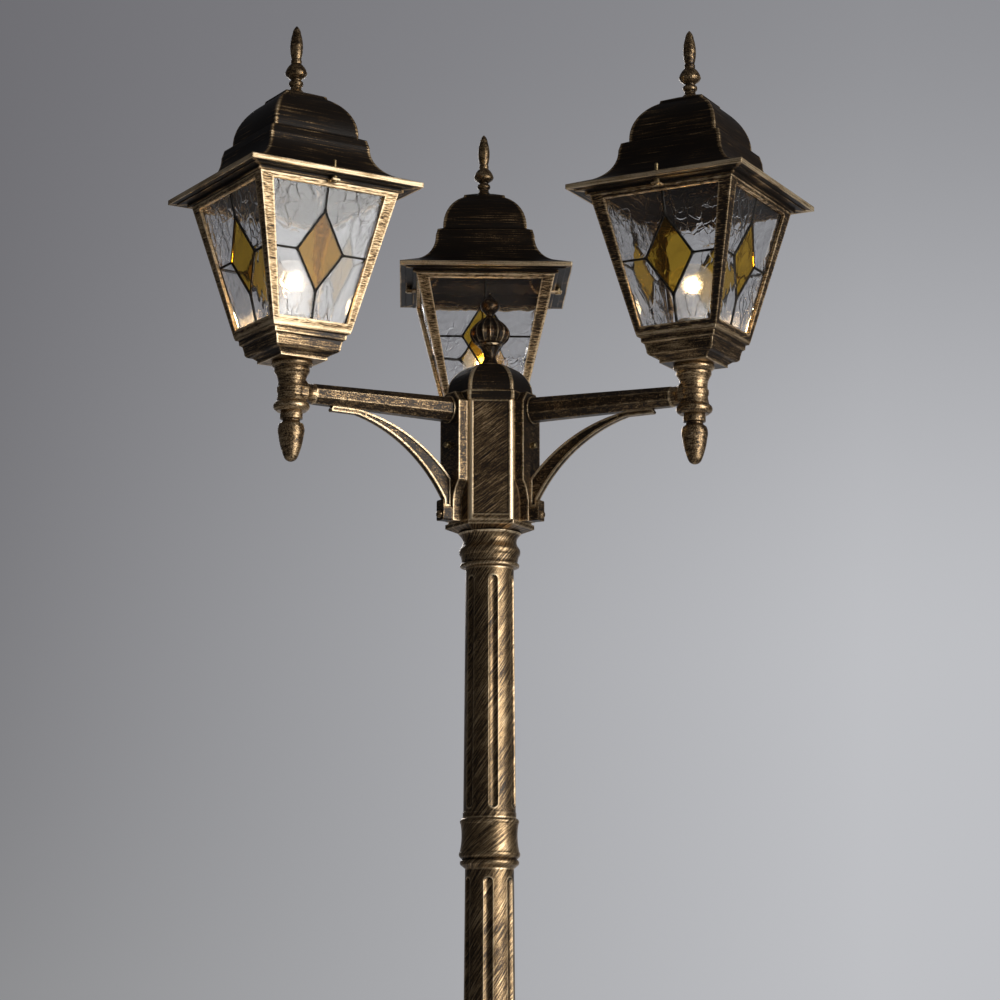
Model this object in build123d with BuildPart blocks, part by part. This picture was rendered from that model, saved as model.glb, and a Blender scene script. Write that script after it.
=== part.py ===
"""Garden lamp post with three leaded-glass lanterns on a fluted pole.

All sizes are in millimetres. +Z is up, and the origin is on the pole's axis at
ground level. The pole is a stack of short fluted tubes and turned couplings on
a bell-shaped foot. A six-sided hub on top carries three arms, 120 degrees
apart, each with a brace below it and a square lantern at its outer end.
"""

import os
from math import atan2, cos, degrees, pi, radians, sin

from build123d import *

os.makedirs("parts", exist_ok=True)

# ---------------------------------------------------------------- pole
TUBE_COUNT = 5
TUBE_H = 241.6
TUBE_TOP_R = 23.4
TUBE_FOOT_R = 25.2
TUBE_BORE_R = 17.5
SEAT_RING_H = 6.0
SEAT_RING_PROUD = 0.5
FLUTE_COUNT = 6
FLUTE_W = 9.6
FLUTE_DEPTH = 2.4
FLUTE_ROUND_R = 6.0
FLUTE_TOP_MARGIN = 9.0
FLUTE_FOOT_MARGIN = 9.5
FLUTE_TURNS = (7.0, -5.0, 3.0, -8.0, 5.0)  # degrees, from the top tube down

COUPLING_H = 47.2
COUPLING_R = 29.0
SPIGOT_L = 28.0
SPIGOT_WALL = 4.0
SPIGOT_CLEARANCE = 0.1

# ---------------------------------------------------------------- foot
BASE_H = 258.0
BASE_FLANGE_R = 98.0
BASE_FLANGE_H = 10.0
BASE_BELL_R = 66.0
BASE_NECK_R = 31.0
BASE_WALL = 6.0
ANCHOR_COUNT = 4
ANCHOR_CIRCLE_R = 82.0
ANCHOR_HOLE_R = 5.5

# ---------------------------------------------------------------- hub
HUB_APOTHEM = 36.0
HUB_H = 118.0
HUB_BELOW_ARM = 108.0
HUB_BORE_R = 26.0
HUB_CORNER_R = 4.5
PANEL_W = 35.0
PANEL_H = 111.0
PANEL_DEPTH = 1.5
PANEL_TOP_MARGIN = 1.5

NECK_H = 43.0
NECK_R = 29.6
HUB_FLANGE_APOTHEM = 37.6
HUB_FLANGE_H = 4.2
HUB_FLANGE_TAPER_H = 4.4

CAP_H = 41.0
CAP_BAND_H = 10.5
CAP_APOTHEM = 37.8
CAP_WALL = 4.0
CAP_BEAD = 1.5
CAP_LIP_H = 5.0
CAP_LIP_WALL = 3.5

HUB_FINIAL_H = 74.5
HUB_FINIAL_R = 20.0
REED_COUNT = 16
REED_DEPTH = 2.0
FINIAL_STUD_R = 4.0
FINIAL_STUD_L = 12.0

# ---------------------------------------------------------------- arm and brace
ARM_AZIMUTHS = {"rear": 90.0, "left": 210.0, "right": 330.0}
ARM_REACH = 219.0
ARM_FOOT_H = 23.4
ARM_END_H = 18.7
ARM_UNDERSIDE_Z = -9.7
WIRE_BORE_R = 5.0
PLATE_T = 10.0
PLATE_HALF_W = 17.5
PLATE_TOP_Z = 19.0
PLATE_SHOULDER_Z = 9.0
PLATE_WAIST_Z = -69.0
PLATE_FOOT_Z = -108.0
PLATE_TOP_HALF_W = 9.0
PLATE_FOOT_HALF_W = 7.0
ARM_COLLAR_R = 13.6
ARM_COLLAR_T = 2.6

BRACE_T = 7.0
BRACE_RIM = 1.9
BRACE_POCKET_DEPTH = 1.5
BRACE_TIP_X = 178.0
BRACE_TIP_H = 4.8
BRACE_TIP_L = 28.0
BRACE_HEEL_Z = -66.5
BRACE_TOE_Z = -94.0
BRACE_TOE_W = 7.2
BRACE_TOE_H = 7.0
BRACE_TOP_BOW = 11.0
BRACE_UNDER_BOW = 12.5
BRACE_POCKET_END = 10.0
FIT_GAP = 0.1

CLIP_W = 13.0
CLIP_T = 10.5
CLIP_TOP_Z = -88.0
CLIP_FLOOR_Z = -95.0
CLIP_WALL = 2.0
CLIP_SCREW_Z = -102.0
ARM_SCREW_Z = -33.0
SCREW_R = 2.2
SCREW_CLEARANCE = 0.1
SCREW_GRIP = 6.0
ARM_SCREW_HEAD_R = 3.0
ARM_SCREW_HEAD_H = 5.6
CLIP_SCREW_HEAD_R = 4.0
CLIP_SCREW_HEAD_H = 3.6

# ---------------------------------------------------------------- lantern
STEM_TOP_Z = 27.8
STEM_H = 47.4
STEM_R = 19.2
BOSS_R = 12.8
BOSS_L = 22.0

DROP_H = 48.0
DROP_R = 12.4

TRAY_H = 26.7
CAGE_FOOT_HALF = 41.2
TRAY_FLOOR_T = 12.0
TRAY_WALL = 5.0

CAGE_H = 131.5
CAGE_TOP_HALF = 72.8
CAGE_WALL = 3.0
CAGE_LIP_H = 2.5
CAGE_LIP_HALF = 33.0
POST_TOP_W = 12.8
POST_FOOT_W = 6.8
RAIL_TOP_H = 4.6
RAIL_FOOT_H = 6.0
LUG_W = 8.0
LUG_T = 1.8
LUG_REACH = 84.0
ROOF_SCREW_Y = 80.0
ROOF_SCREW_R = 1.8
ROOF_SCREW_HOLE_R = 2.3
ROOF_SCREW_TIP = 19.0
ROOF_NUT_R = 3.0
ROOF_HEAD_H = 1.4
ROOF_NUT_GAP = 0.3

GLASS_T = 3.0
CAME_CORE_W = 1.2
CAME_W = 2.6
CAME_FLANGE_T = 0.6
GLASS_FIT = 0.1
PANE_SIDE_MARGIN = 0.6
DIAMOND_TOP = 107.5
DIAMOND_MID = 69.0
DIAMOND_FOOT = 32.5
DIAMOND_HALF_W = 24.0

HOLDER_R = 16.0
HOLDER_H = 30.6
HOLDER_FLANGE_R = 20.0
HOLDER_FLANGE_T = 3.0
HOLDER_FLOOR_T = 6.0
BULB_CAP_R = 13.2
BULB_CAP_H = 25.0
BULB_CAP_CLEARANCE = 0.1
BULB_R = 22.5
BULB_H = 56.0
BULB_WALL = 1.0

EAVE_HALF = 90.0
FASCIA_H = 4.5
SOFFIT_RISE = 4.0
SOFFIT_STEP_RISE = 3.0
SOFFIT_STEP_W = 7.5
SOFFIT_SEAT_HALF = 76.2
ROOF_SEAT_HALF = 66.0
FLARE_FOOT_HALF = 71.0
FLARE_FOOT_RISE = 16.0
FLARE_TOP_HALF = 52.3
FLARE_TOP_RISE = 46.5
FLARE_BOW = 5.1
STEP_HALF = 50.3
STEP_RISE = 54.0
DOME_HALF = 44.4
DOME_FOOT_RISE = 56.8
DOME_TOP_HALF = 22.4
DOME_TOP_RISE = 97.6
DOME_BOW = 6.3
PLINTH_HALF = 21.6
PLINTH_RISE = 100.4
ROOF_PEAK_HALF = 9.5
ROOF_PEAK_RISE = 105.6
ROOF_WALL = 3.0

ROOF_FINIAL_H = 68.5
ROOF_FINIAL_R = 10.7

# ---------------------------------------------------------------- derived levels
COUPLING_COUNT = TUBE_COUNT
TUBE_TOP_Z = BASE_H + COUPLING_COUNT * COUPLING_H + TUBE_COUNT * TUBE_H
HUB_Z = TUBE_TOP_Z + NECK_H
ARM_Z = HUB_Z + HUB_BELOW_ARM
CAP_Z = HUB_Z + HUB_H
HUB_CORNER = HUB_APOTHEM / cos(pi / 6)

PLATE_FACE_X = HUB_APOTHEM + PLATE_T
ARM_END_X = ARM_REACH - BOSS_L
TRAY_Z = STEM_TOP_Z
CAGE_Z = TRAY_Z + TRAY_H
ROOF_Z = CAGE_Z + CAGE_H
CAGE_SLOPE = atan2(CAGE_TOP_HALF - CAGE_FOOT_HALF, CAGE_H)
HOLDER_Z = TRAY_Z + TRAY_FLOOR_T
BULB_CAP_Z = HOLDER_Z + HOLDER_FLOOR_T
BULB_Z = BULB_CAP_Z + BULB_CAP_H

ARM_PLANES = {
    arm: Plane(
        origin=(0, 0, ARM_Z),
        x_dir=(cos(radians(azimuth)), sin(radians(azimuth)), 0),
        z_dir=(0, 0, 1),
    )
    for arm, azimuth in ARM_AZIMUTHS.items()
}


# ---------------------------------------------------------------- helpers
def upright(turn=0.0, origin=(0, 0, 0)):
    """Vertical sketch plane: x runs outward at the turn's azimuth, and y runs up."""
    return Plane(
        origin=origin,
        x_dir=(cos(radians(turn)), sin(radians(turn)), 0),
        z_dir=(sin(radians(turn)), -cos(radians(turn)), 0),
    )


def facing(x, turn=0.0, origin=(0, 0, 0)):
    """Plane x away from the origin, facing the turn's azimuth: its x runs sideways and y up."""
    outward = Vector(cos(radians(turn)), sin(radians(turn)), 0)
    return Plane(
        origin=Vector(*origin) + outward * x,
        x_dir=(-outward.Y, outward.X, 0),
        z_dir=outward,
    )


def moulding(points, side=1):
    """Draws an outline through rows of (radius, height).

    A row of four numbers is an arc: its middle point, then its end.
    """
    start = (side * points[0][0], points[0][1])
    for row in points[1:]:
        end = (side * row[-2], row[-1])
        if len(row) == 4:
            ThreePointArc(start, (side * row[0], row[1]), end)
        else:
            Line(start, end)
        start = end


def scaled(shape, height, radius):
    """Turns shares of a piece's radius and height into sizes."""
    return [
        tuple(v * (radius if i % 2 == 0 else height) for i, v in enumerate(row))
        for row in shape
    ]


def mirrored(points):
    """Draws an outline, its mirror image about the sketch's y axis and the lines that close them."""
    moulding(points)
    moulding(points, side=-1)
    for radius, height in (points[0][-2:], points[-1][-2:]):
        if radius > 0:
            Line((-radius, height), (radius, height))


def turned(points, bore=0.0, x=0.0, z=0.0):
    """Solid of revolution about the vertical line at x, standing at z."""
    (foot_r, foot_z), (top_r, top_z) = points[0][-2:], points[-1][-2:]
    corners = [(foot_r, foot_z), (bore, foot_z), (bore, top_z), (top_r, top_z)]
    with BuildPart() as piece:
        with BuildSketch(upright(origin=(x, 0, z))):
            with BuildLine():
                moulding(points)
                Polyline([p for i, p in enumerate(corners) if i == 0 or p != corners[i - 1]])
            make_face()
        revolve(axis=Axis((x, 0, z), (0, 0, 1)))
    return piece.part


def faceted(points, turns, x=0.0, z=0.0):
    """Moulding carried round a polygon: a straight run for each pair of faces, kept where all meet."""
    reach = 2 * max(max(row[0::2]) for row in points)
    with BuildPart() as piece:
        for number, turn in enumerate(turns):
            with BuildSketch(upright(turn, (x, 0, z))):
                with BuildLine():
                    mirrored(points)
                make_face()
            extrude(amount=reach, both=True, mode=Mode.INTERSECT if number else Mode.ADD)
    return piece.part


def save(part, label):
    """Labels a finished piece and writes it."""
    part.label = label
    export_step(part, f"parts/{label}.step")


def save_on_arms(part, label):
    """Writes one copy of a piece for each arm, turned to that arm's azimuth."""
    for arm, plane in ARM_PLANES.items():
        save(part.moved(plane.location), f"{label}_{arm}")


SQUARE = (0.0, 90.0)
HEXAGON = (30.0, 90.0, 150.0)

# ---------------------------------------------------------------- foot of the pole
BASE_TOP_R = COUPLING_R * 0.9
base_profile = [
    (BASE_FLANGE_R, 0),
    (BASE_FLANGE_R, BASE_FLANGE_H * 0.8),
    (BASE_FLANGE_R - BASE_FLANGE_H * 0.2, BASE_FLANGE_H),
    (BASE_BELL_R + 4, BASE_FLANGE_H),
    (BASE_BELL_R + 7.5, BASE_FLANGE_H + 6, BASE_BELL_R + 3, BASE_FLANGE_H + 12),
    (BASE_BELL_R, BASE_FLANGE_H + 14),
    (BASE_BELL_R * 0.68, BASE_H * 0.27, BASE_NECK_R + 6, BASE_H * 0.52),
    (BASE_NECK_R + 6, BASE_H * 0.56),
    (BASE_NECK_R + 10, BASE_H * 0.585, BASE_NECK_R + 6, BASE_H * 0.61),
    (BASE_NECK_R + 2, BASE_H * 0.64),
    (BASE_NECK_R, BASE_H * 0.93),
    (BASE_NECK_R + 2, BASE_H * 0.955, BASE_NECK_R, BASE_H * 0.98),
    (BASE_TOP_R, BASE_H),
]
base_hollow = [
    (BASE_BELL_R - BASE_WALL, 0),
    (BASE_BELL_R - BASE_WALL, BASE_FLANGE_H + 10),
    (BASE_BELL_R * 0.68 - BASE_WALL, BASE_H * 0.27, BASE_NECK_R - BASE_WALL, BASE_H * 0.52),
    (TUBE_BORE_R, BASE_H * 0.66),
]
bell = turned(base_profile)
bell_hollow = turned(base_hollow)
with BuildPart() as base:
    add(bell)
    add(bell_hollow, mode=Mode.SUBTRACT)
    with BuildSketch(Plane.XY):
        Circle(TUBE_BORE_R)
    extrude(amount=BASE_H, mode=Mode.SUBTRACT)
    with BuildSketch(Plane.XY):
        with PolarLocations(ANCHOR_CIRCLE_R, ANCHOR_COUNT, start_angle=45):
            Circle(ANCHOR_HOLE_R)
    extrude(amount=BASE_FLANGE_H, mode=Mode.SUBTRACT)
save(base.part, "base")

# ---------------------------------------------------------------- couplings
SPIGOT_R = TUBE_BORE_R - SPIGOT_CLEARANCE
COUPLING_SHAPE = [
    (0.82, 0.0),
    (0.915, 0.05),
    (0.98, 0.11, 0.9, 0.178),
    (0.952, 0.208),
    (1.005, 0.25, 0.985, 0.33),
    (0.925, 0.62, 0.955, 0.89),
    (0.975, 0.95, 0.9, 1.0),
]


def coupling(foot_z):
    """Turned collar between two tubes, with a sleeve that fits the bore above and below."""
    collar = turned(scaled(COUPLING_SHAPE, COUPLING_H, COUPLING_R), z=foot_z)
    with BuildPart() as piece:
        add(collar)
        with BuildSketch(Plane.XY.offset(foot_z - SPIGOT_L)):
            Circle(SPIGOT_R)
        extrude(amount=COUPLING_H + 2 * SPIGOT_L)
        with BuildSketch(Plane.XY.offset(foot_z - SPIGOT_L)):
            Circle(SPIGOT_R - SPIGOT_WALL)
        extrude(amount=COUPLING_H + 2 * SPIGOT_L, mode=Mode.SUBTRACT)
    return piece.part


# ---------------------------------------------------------------- fluted tubes
def flute(foot_z, turn):
    """Cutter for one flute: a slot with round ends and a concave floor, along the tube's taper."""
    lean = atan2(TUBE_FOOT_R - TUBE_TOP_R, TUBE_H)
    length = TUBE_H - FLUTE_TOP_MARGIN - FLUTE_FOOT_MARGIN
    middle_z = FLUTE_FOOT_MARGIN + length / 2
    middle_r = TUBE_FOOT_R + (TUBE_TOP_R - TUBE_FOOT_R) * middle_z / TUBE_H
    azimuth = radians(turn)
    outward = Vector(cos(azimuth) * cos(lean), sin(azimuth) * cos(lean), sin(lean))
    sideways = Vector(-sin(azimuth), cos(azimuth), 0)
    middle = Vector(middle_r * cos(azimuth), middle_r * sin(azimuth), foot_z + middle_z)
    face = Plane(origin=middle, x_dir=sideways, z_dir=outward)
    foot = Plane(origin=middle - face.y_dir * length / 2, x_dir=sideways, z_dir=face.y_dir)
    with BuildPart() as cutter:
        with BuildSketch(face):
            SlotOverall(length, FLUTE_W, rotation=90)
        extrude(amount=2 * FLUTE_DEPTH, both=True)
        with BuildSketch(foot):
            with Locations((0, FLUTE_DEPTH - FLUTE_ROUND_R)):
                Circle(FLUTE_ROUND_R)
        extrude(amount=length, mode=Mode.INTERSECT)
    return cutter.part


def pole_tube(foot_z, turn):
    """Tapered tube with a seat ring at its foot, a straight bore and flutes all round."""
    ring_r = TUBE_FOOT_R + SEAT_RING_PROUD
    shell = turned(
        [
            (ring_r, 0),
            (ring_r, SEAT_RING_H - SEAT_RING_PROUD),
            (TUBE_FOOT_R, SEAT_RING_H),
            (TUBE_TOP_R, TUBE_H),
        ],
        bore=TUBE_BORE_R,
        z=foot_z,
    )
    flutes = [flute(foot_z, turn + 360 * i / FLUTE_COUNT) for i in range(FLUTE_COUNT)]
    with BuildPart() as piece:
        add(shell)
        add(flutes, mode=Mode.SUBTRACT)
    return piece.part


for number, flute_turn in enumerate(FLUTE_TURNS[:TUBE_COUNT], start=1):
    tube_z = TUBE_TOP_Z - TUBE_H - (number - 1) * (TUBE_H + COUPLING_H)
    save(pole_tube(tube_z, 270 + flute_turn), f"pole_tube_{number}")
    save(coupling(tube_z - COUPLING_H), f"pole_coupling_{number}")

# ---------------------------------------------------------------- neck under the hub
NECK_SHAPE = [
    (0.86, 0.0),
    (0.96, 0.03),
    (0.975, 0.07, 0.935, 0.115),
    (0.9, 0.125),
    (0.93, 0.19),
    (0.925, 0.2),
    (0.955, 0.285),
    (1.01, 0.38, 0.955, 0.49),
    (0.885, 0.61, 0.955, 0.76),
    (1.04, 0.83),
]
TURNED_NECK_H = NECK_H - HUB_FLANGE_H - HUB_FLANGE_TAPER_H
neck_core = turned(scaled(NECK_SHAPE, TURNED_NECK_H / 0.83, NECK_R), z=TUBE_TOP_Z)
hub_flange = faceted(
    [
        (NECK_R * 0.9, 0),
        (HUB_FLANGE_APOTHEM, HUB_FLANGE_TAPER_H),
        (HUB_FLANGE_APOTHEM, HUB_FLANGE_TAPER_H + HUB_FLANGE_H),
    ],
    HEXAGON,
    z=TUBE_TOP_Z + TURNED_NECK_H,
)
with BuildPart() as neck:
    add(neck_core)
    add(hub_flange)
    with BuildSketch(Plane.XY.offset(TUBE_TOP_Z - SPIGOT_L)):
        Circle(SPIGOT_R)
    extrude(amount=SPIGOT_L)
    with BuildSketch(Plane.XY.offset(TUBE_TOP_Z - SPIGOT_L)):
        Circle(SPIGOT_R - SPIGOT_WALL)
    extrude(amount=SPIGOT_L + NECK_H, mode=Mode.SUBTRACT)
save(neck.part, "neck")

# ---------------------------------------------------------------- hub body
PANEL_TURNS = [turn - 180 for turn in ARM_AZIMUTHS.values()]
PANEL_Z = CAP_Z - PANEL_TOP_MARGIN - PANEL_H / 2
with BuildPart() as hub_body:
    with BuildSketch(Plane.XY.offset(HUB_Z)):
        RegularPolygon(HUB_CORNER, 6)
    extrude(amount=HUB_H)
    fillet(hub_body.edges().filter_by(Axis.Z), HUB_CORNER_R)
    for turn in PANEL_TURNS:
        with BuildSketch(facing(HUB_APOTHEM, turn, (0, 0, PANEL_Z))):
            Rectangle(PANEL_W, PANEL_H)
        extrude(amount=-PANEL_DEPTH, mode=Mode.SUBTRACT)
    with BuildSketch(Plane.XY.offset(HUB_Z)):
        Circle(HUB_BORE_R)
    extrude(amount=HUB_H, mode=Mode.SUBTRACT)
    for turn in ARM_AZIMUTHS.values():
        for z, radius, depth in (
            (0, WIRE_BORE_R, HUB_APOTHEM),
            (ARM_SCREW_Z, SCREW_R + SCREW_CLEARANCE, SCREW_GRIP + 1),
            (CLIP_SCREW_Z, SCREW_R + SCREW_CLEARANCE, SCREW_GRIP + 1),
        ):
            with BuildSketch(facing(HUB_APOTHEM, turn, (0, 0, ARM_Z + z))):
                Circle(radius)
            extrude(amount=-depth, mode=Mode.SUBTRACT)
save(hub_body.part, "hub_body")

# ---------------------------------------------------------------- hub cap
FINIAL_SEAT_R = HUB_FINIAL_R * 0.6
DOME_CREST = CAP_APOTHEM - CAP_BEAD
cap_outer = faceted(
    [
        (CAP_APOTHEM, 0),
        (CAP_APOTHEM, CAP_BAND_H - CAP_BEAD),
        (DOME_CREST, CAP_BAND_H),
        (DOME_CREST * 0.955, CAP_H * 0.55, DOME_CREST * 0.79, CAP_H * 0.79),
        (DOME_CREST * 0.58, CAP_H * 0.93, FINIAL_SEAT_R, CAP_H),
    ],
    HEXAGON,
    z=CAP_Z,
)
cap_hollow = faceted(
    [
        (CAP_APOTHEM - CAP_WALL, 0),
        (CAP_APOTHEM - CAP_WALL, CAP_BAND_H),
        (CAP_APOTHEM * 0.68, CAP_H * 0.66),
        (CAP_APOTHEM * 0.4, CAP_H - 2 * CAP_WALL),
    ],
    HEXAGON,
    z=CAP_Z + CAP_WALL,
)
with BuildPart() as hub_cap:
    add(cap_outer)
    add(cap_hollow, mode=Mode.SUBTRACT)
    with BuildSketch(Plane.XY.offset(CAP_Z - CAP_LIP_H)):
        Circle(HUB_BORE_R - SPIGOT_CLEARANCE)
    extrude(amount=CAP_LIP_H + CAP_WALL)
    with BuildSketch(Plane.XY.offset(CAP_Z - CAP_LIP_H)):
        Circle(HUB_BORE_R - SPIGOT_CLEARANCE - CAP_LIP_WALL)
    extrude(amount=CAP_LIP_H + CAP_WALL, mode=Mode.SUBTRACT)
    with BuildSketch(Plane.XY.offset(CAP_Z + CAP_WALL)):
        Circle(FINIAL_STUD_R + SCREW_CLEARANCE)
    extrude(amount=CAP_H, mode=Mode.SUBTRACT)
save(hub_cap.part, "hub_cap")

# ---------------------------------------------------------------- hub finial
FINIAL_Z = CAP_Z + CAP_H
FINIAL_FOOT_SHAPE = [
    (0.55, 0.0),
    (0.44, 0.035),
    (0.3, 0.115, 0.37, 0.195),
    (0.47, 0.25),
    (0.58, 0.268),
    (0.6, 0.291),
]
FINIAL_BUD_SHAPE = [
    (0.28, 0.655),
    (0.19, 0.68),
    (0.19, 0.7),
    (0.3, 0.735),
    (0.475, 0.82, 0.3, 0.91),
    (0.1, 0.965),
    (0.03, 1.0),
]
URN_SECTIONS = [
    (0.291, 0.6),
    (0.315, 0.78),
    (0.354, 0.9),
    (0.4, 0.975),
    (0.445, 1.0),
    (0.495, 0.955),
    (0.54, 0.84),
    (0.58, 0.69),
    (0.62, 0.5),
    (0.655, 0.3),
]
finial_foot = turned(scaled(FINIAL_FOOT_SHAPE, HUB_FINIAL_H, HUB_FINIAL_R), z=FINIAL_Z)
finial_bud = turned(scaled(FINIAL_BUD_SHAPE, HUB_FINIAL_H, HUB_FINIAL_R), z=FINIAL_Z)


def reeded_ring(radius):
    """Corners of a section with a rounded reed between each pair of grooves."""
    groove = radius - REED_DEPTH * radius / HUB_FINIAL_R
    corners = []
    for step in range(2 * REED_COUNT):
        reach = groove if step % 2 else radius
        angle = pi * step / REED_COUNT
        corners.append((reach * cos(angle), reach * sin(angle)))
    return corners


with BuildPart() as hub_finial:
    for height, radius in URN_SECTIONS:
        with BuildSketch(Plane.XY.offset(FINIAL_Z + height * HUB_FINIAL_H)):
            Polygon(*reeded_ring(radius * HUB_FINIAL_R), align=None)
    loft(ruled=True)
    add(finial_foot)
    add(finial_bud)
    with BuildSketch(Plane.XY.offset(FINIAL_Z - FINIAL_STUD_L)):
        Circle(FINIAL_STUD_R)
    extrude(amount=FINIAL_STUD_L)
save(hub_finial.part, "hub_finial")

# ---------------------------------------------------------------- arm casting
PLATE_OUTLINE = [
    (PLATE_FOOT_HALF_W, PLATE_FOOT_Z),
    (PLATE_FOOT_HALF_W, CLIP_FLOOR_Z),
    (PLATE_FOOT_HALF_W + 1.6, (CLIP_FLOOR_Z + PLATE_WAIST_Z) / 2, PLATE_HALF_W, PLATE_WAIST_Z),
    (PLATE_HALF_W, PLATE_SHOULDER_Z),
    (PLATE_TOP_HALF_W, PLATE_TOP_Z),
]
with BuildPart() as arm:
    with BuildSketch(facing(HUB_APOTHEM)):
        with BuildLine():
            mirrored(PLATE_OUTLINE)
        make_face()
    extrude(amount=PLATE_T)
    with BuildSketch(facing(HUB_APOTHEM)):
        with Locations((0, CAP_Z - ARM_Z - FIT_GAP + CAP_BAND_H)):
            Rectangle(2 * PLATE_HALF_W, 2 * CAP_BAND_H)
    extrude(amount=CAP_APOTHEM + FIT_GAP - HUB_APOTHEM, mode=Mode.SUBTRACT)
    with BuildSketch(facing(PLATE_FACE_X)):
        with Locations((0, ARM_UNDERSIDE_Z + ARM_FOOT_H / 2)):
            Circle(ARM_COLLAR_R)
    extrude(amount=ARM_COLLAR_T)
    for x, height in ((PLATE_FACE_X, ARM_FOOT_H), (ARM_END_X, ARM_END_H)):
        with BuildSketch(facing(x)):
            with Locations((0, ARM_UNDERSIDE_Z + height / 2)):
                RegularPolygon(height / 2, 8, major_radius=False, rotation=22.5)
    loft()
    with BuildSketch(facing(HUB_APOTHEM)):
        Circle(WIRE_BORE_R)
    extrude(amount=ARM_REACH, mode=Mode.SUBTRACT)
    for z in (ARM_SCREW_Z, CLIP_SCREW_Z):
        with BuildSketch(facing(HUB_APOTHEM, origin=(0, 0, z))):
            Circle(SCREW_R + SCREW_CLEARANCE)
        extrude(amount=PLATE_T, mode=Mode.SUBTRACT)
save_on_arms(arm.part, "arm")

# ---------------------------------------------------------------- brace under the arm
BRACE_TOP_Z = ARM_UNDERSIDE_Z - FIT_GAP
BRACE_HEEL_X = PLATE_FACE_X + FIT_GAP
BRACE_TIP_FOOT_X = BRACE_TIP_X - BRACE_TIP_L
BRACE_TOE_X = BRACE_HEEL_X + BRACE_TOE_W


def arc_middle(start, end, bow):
    """Point on an arc halfway between its ends, bowed upward from the chord."""
    chord = Vector(*end) - Vector(*start)
    normal = Vector(-chord.Y, chord.X).normalized()
    if normal.Y < 0:
        normal = normal * -1
    middle = (Vector(*start) + Vector(*end)) * 0.5 + normal * bow
    return (middle.X, middle.Y)


def brace_outline():
    """Closed outline of the brace: a bowed upper edge, a steeper under edge and a flat tongue at the tip."""
    tip = (BRACE_TIP_FOOT_X, BRACE_TOP_Z)
    heel = (BRACE_HEEL_X, BRACE_HEEL_Z)
    toe = (BRACE_TOE_X, BRACE_TOE_Z + BRACE_TOE_H)
    under = (BRACE_TIP_FOOT_X, BRACE_TOP_Z - BRACE_TIP_H)
    ThreePointArc(tip, arc_middle(tip, heel, BRACE_TOP_BOW), heel)
    Polyline(heel, (BRACE_HEEL_X, BRACE_TOE_Z), (BRACE_TOE_X, BRACE_TOE_Z), toe)
    ThreePointArc(toe, arc_middle(toe, under, BRACE_UNDER_BOW), under)
    Polyline(
        under,
        (BRACE_TIP_X - BRACE_TIP_H * 0.2, under[1]),
        (BRACE_TIP_X, under[1] + BRACE_TIP_H * 0.4),
        (BRACE_TIP_X - BRACE_TIP_H * 0.4, BRACE_TOP_Z),
        tip,
    )


with BuildPart() as brace:
    with BuildSketch(upright()):
        with BuildLine():
            brace_outline()
        make_face()
    extrude(amount=BRACE_T / 2, both=True)
    for side in (1, -1):
        with BuildSketch(upright(origin=(0, side * (BRACE_T / 2 - BRACE_POCKET_DEPTH), 0))):
            with BuildLine():
                brace_outline()
            make_face()
            offset(amount=-BRACE_RIM, kind=Kind.INTERSECTION)
            with Locations((BRACE_TIP_FOOT_X - BRACE_POCKET_END, BRACE_TOE_Z)):
                Rectangle(BRACE_TIP_X, -BRACE_TOE_Z, align=(Align.MAX, Align.MIN), mode=Mode.INTERSECT)
        extrude(amount=-side * BRACE_T, mode=Mode.SUBTRACT)
save_on_arms(brace.part, "brace")

# ---------------------------------------------------------------- brace clips
CLIP_FACE_X = PLATE_FACE_X + CLIP_T
with BuildPart() as clip:
    with BuildSketch(facing(PLATE_FACE_X)):
        with Locations((0, (CLIP_TOP_Z + PLATE_FOOT_Z) / 2)):
            RectangleRounded(CLIP_W, CLIP_TOP_Z - PLATE_FOOT_Z, CLIP_WALL)
    extrude(amount=CLIP_T)
    with BuildSketch(facing(PLATE_FACE_X)):
        with Locations((0, CLIP_FLOOR_Z + CLIP_W)):
            Rectangle(2 * CLIP_W, 2 * CLIP_W)
    extrude(amount=CLIP_T - CLIP_WALL, mode=Mode.SUBTRACT)
    with BuildSketch(facing(PLATE_FACE_X, origin=(0, 0, CLIP_SCREW_Z))):
        Circle(SCREW_R + SCREW_CLEARANCE)
    extrude(amount=CLIP_T, mode=Mode.SUBTRACT)


# ---------------------------------------------------------------- screws through the plate
def wall_screw(seat_x, z, head):
    """Screw along the arm: its shank ends in the hub's wall and its head stands on the seat."""
    with BuildPart() as screw:
        with BuildSketch(upright(origin=(0, 0, z))):
            with BuildLine():
                points = [(SCREW_R, HUB_APOTHEM - SCREW_GRIP), (SCREW_R, seat_x)]
                points += [(radius, seat_x + rise) for radius, rise in head]
                corners = [(x, radius) for radius, x in points]
                Polyline([(corners[0][0], 0), *corners, (corners[-1][0], 0)], close=True)
            make_face()
        revolve(axis=Axis((0, 0, z), (1, 0, 0)))
    return screw.part


arm_screw = wall_screw(
    PLATE_FACE_X,
    ARM_SCREW_Z,
    [
        (ARM_SCREW_HEAD_R, 0),
        (ARM_SCREW_HEAD_R, ARM_SCREW_HEAD_H * 0.8),
        (ARM_SCREW_HEAD_R * 0.75, ARM_SCREW_HEAD_H),
    ],
)
clip_screw = wall_screw(
    CLIP_FACE_X,
    CLIP_SCREW_Z,
    [
        (CLIP_SCREW_HEAD_R, 0),
        (CLIP_SCREW_HEAD_R * 0.95, CLIP_SCREW_HEAD_H * 0.4),
        (CLIP_SCREW_HEAD_R * 0.7, CLIP_SCREW_HEAD_H * 0.8),
        (CLIP_SCREW_HEAD_R * 0.3, CLIP_SCREW_HEAD_H),
    ],
)

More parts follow.
